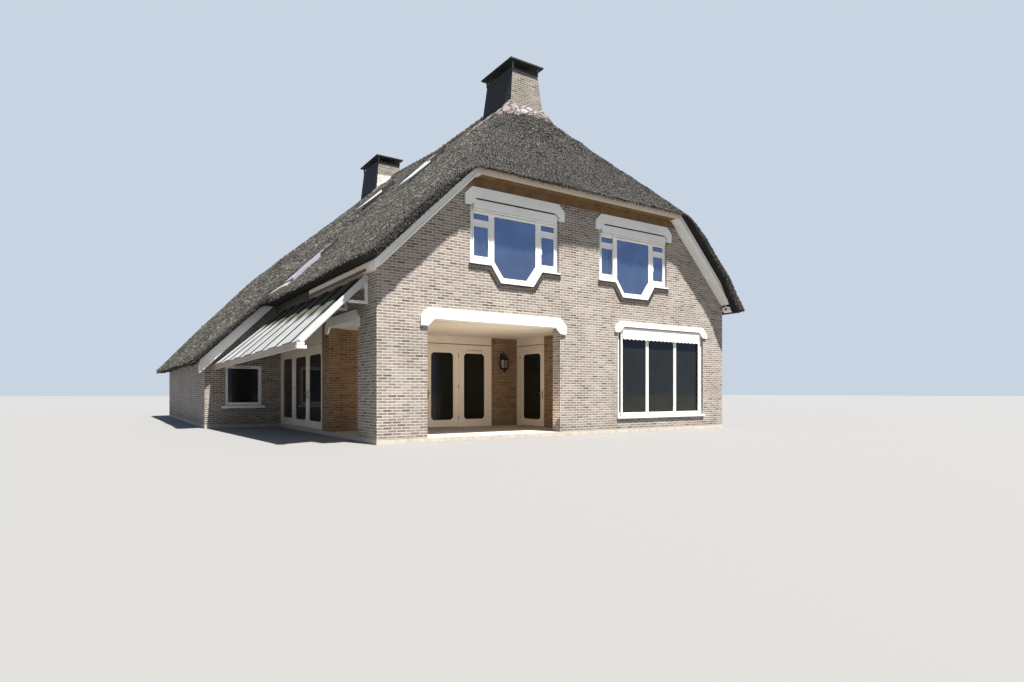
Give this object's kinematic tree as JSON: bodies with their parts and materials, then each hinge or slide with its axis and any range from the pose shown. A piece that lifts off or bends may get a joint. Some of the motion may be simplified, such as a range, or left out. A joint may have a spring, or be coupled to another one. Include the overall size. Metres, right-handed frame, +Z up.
{
  "type": "thatched cottage",
  "caption": "Thatched brick cottage with a half-hipped gable, two chimneys, a corner loggia, a lean-to side canopy and a low side wing.",
  "frame": {"origin": "middle of the main house's floor plan, on the ground under the floor slab", "axes": "+Y runs from the front gable to the back along the ridge, +X to the right of the front gable, +Z up"},
  "size_m": [14.48, 20.77, 11.09],
  "materials": {
    "brickwork": "pale brick with pale mortar",
    "chimney_brick": "weathered dark brick",
    "floor_slab": "matt",
    "ceiling_boards": "painted boards",
    "thatch": "weathered reed",
    "white_trim": "satin paint",
    "cream_trim": "satin paint",
    "window_glass": "clear",
    "ridge_tile": "fired clay",
    "flashing_mortar": "cracked mortar",
    "cap_slate": "dark slab",
    "lantern_iron": "black paint",
    "canopy_sheeting": "ribbed sheet"
  },
  "bodies": {
    "cottage": {"corner_pier": "brickwork", "corner_pier_top": "brickwork", "front_wall_right": "brickwork", "front_gable_wall": "brickwork", "left_wall_upper": "brickwork", "left_wall_pier": "brickwork", "loggia_back_wall_left": "brickwork", "loggia_back_wall_right": "brickwork", "loggia_side_wall": "brickwork", "right_wall": "brickwork", "rear_wall": "brickwork", "wing_front_wall": "brickwork", "wing_side_wall": "brickwork", "main_chimney_stack": "chimney_brick", "rear_chimney_stack": "chimney_brick", "ground_floor": "floor_slab", "upper_floor": "ceiling_boards", "thatch_left": "thatch", "thatch_right_front": "thatch", "thatch_half_hip": "thatch", "thatch_rear_left": "thatch", "thatch_right_rear": "thatch", "thatch_rear_hip": "thatch", "barge_left": "white_trim", "barge_right": "white_trim", "wing_verge_board": "white_trim", "skylight_front": "white_trim", "skylight_rear": "white_trim", "skylight_low": "white_trim", "gable_window_left": "white_trim", "gable_window_right": "white_trim", "ground_window": "white_trim", "wing_window": "white_trim", "right_window_1": "white_trim", "right_window_2": "white_trim", "rear_window": "white_trim", "loggia_front_beam": "white_trim", "loggia_side_beam": "white_trim", "canopy_frame": "white_trim", "half_hip_fascia": "cream_trim", "eave_box_left": "cream_trim", "eave_box_right": "cream_trim", "eave_box_rear": "cream_trim", "loggia_door_frame": "cream_trim", "loggia_side_door_frame": "cream_trim", "side_door_frame": "cream_trim", "gable_window_left_glass": "window_glass", "gable_window_right_glass": "window_glass", "ridge_cap": "ridge_tile", "main_chimney_flashing": "flashing_mortar", "main_chimney_cap": "cap_slate", "rear_chimney_cap": "cap_slate", "wall_lantern": "lantern_iron", "canopy_sheet": "canopy_sheeting"},
    "loggia_leaf": {"loggia_door_leaf": "cream_trim"},
    "loggia_side_leaf": {"loggia_side_door_leaf": "cream_trim"},
    "side_leaf_front": {"side_door_leaf_front": "cream_trim"},
    "side_leaf_rear": {"side_door_leaf_rear": "cream_trim"}
  },
  "joints": [
    {"name": "loggia_door", "type": "hinge", "parent": "cottage", "child": "loggia_leaf", "pos_m": [-1.7755, -6.518, 1.26], "axis": [0, 0, 1], "range_deg": [0, 95]},
    {"name": "loggia_side_door", "type": "hinge", "parent": "cottage", "child": "loggia_side_leaf", "pos_m": [0.232, -6.7395, 1.26], "axis": [0, 0, -1], "range_deg": [0, 75]},
    {"name": "side_door_front", "type": "hinge", "parent": "cottage", "child": "side_leaf_front", "pos_m": [-5.548, -6.0475, 1.2], "axis": [0, 0, 1], "range_deg": [0, 55]},
    {"name": "side_door_rear", "type": "hinge", "parent": "cottage", "child": "side_leaf_rear", "pos_m": [-5.548, -3.1575, 1.2], "axis": [0, 0, -1], "range_deg": [0, 55]}
  ]
}
